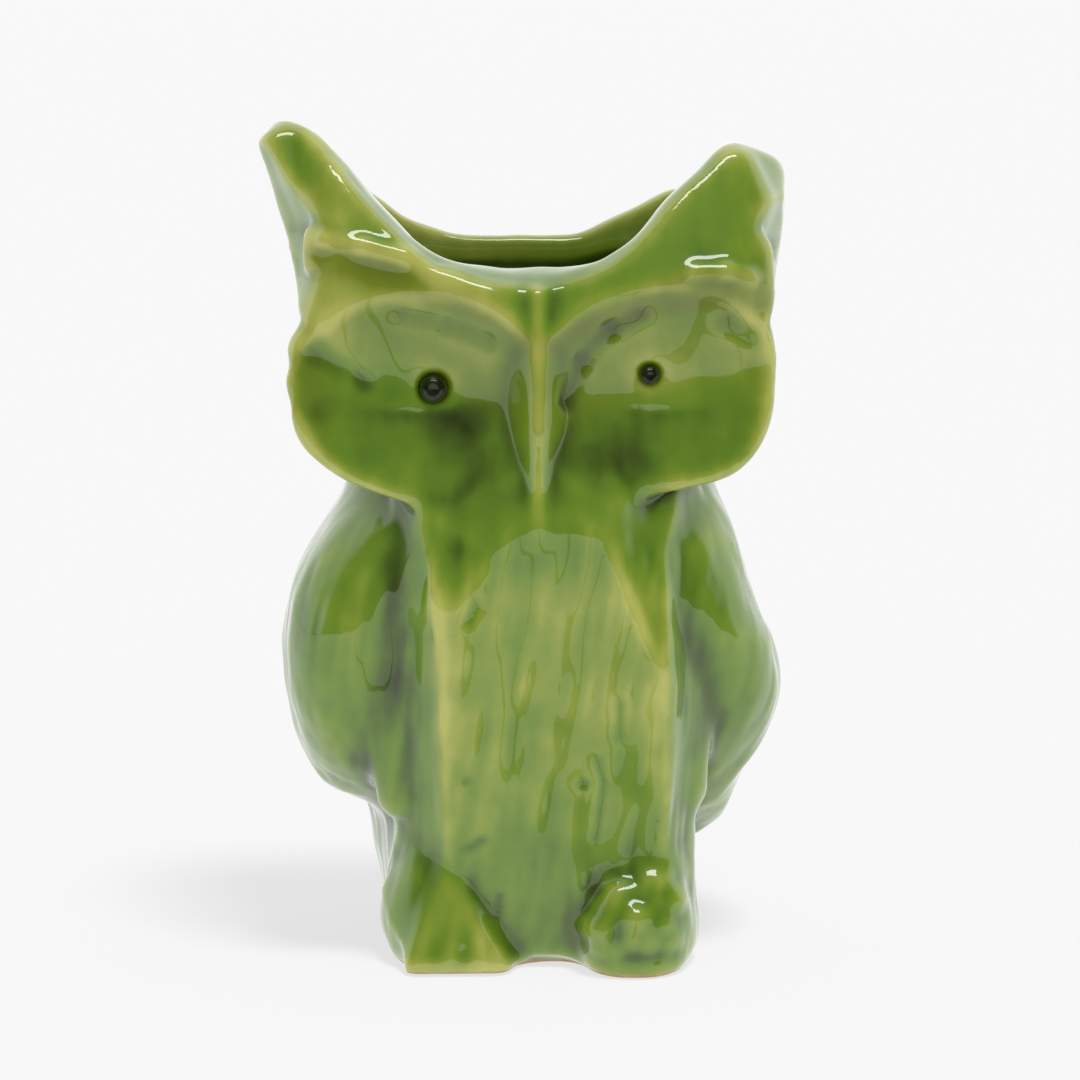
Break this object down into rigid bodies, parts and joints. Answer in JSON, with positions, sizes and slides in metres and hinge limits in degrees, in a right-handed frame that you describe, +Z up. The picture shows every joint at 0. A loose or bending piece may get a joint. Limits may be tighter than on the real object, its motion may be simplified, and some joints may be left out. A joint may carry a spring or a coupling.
{
  "type": "owl vase",
  "caption": "Hollow glazed owl figurine with scooped eye dishes, a ridged beak, folded wings and an open mouth between raised ears.",
  "frame": {"origin": "on the surface the vase stands on, under the middle of its vessel", "axes": "+Z up from foot to ears, -Y the way the owl faces, +X to the right of a person who faces the owl"},
  "size_m": [0.1758, 0.109, 0.2825],
  "materials": {
    "green_glaze": "translucent leaf green gloss glaze over cream clay, paler on ridges and darker where it pools",
    "dark_glaze": "near-black olive where the glaze pools in the eye pits",
    "bare_foot": "bare fired cream clay, wiped clean of glaze so the vase can stand"
  },
  "bodies": {
    "root": {"floor_slab": "bare_foot", "body_wall": "green_glaze", "head_wall": "green_glaze", "left_ear": "green_glaze", "right_ear": "green_glaze", "left_eye": "dark_glaze", "right_eye": "dark_glaze", "beak_ridge": "green_glaze", "left_brow": "green_glaze", "right_brow": "green_glaze", "face_mask": "green_glaze", "left_foot": "green_glaze", "right_foot": "green_glaze", "breast_apron": "green_glaze", "left_wing": "green_glaze", "right_wing": "green_glaze"}
  },
  "joints": []
}
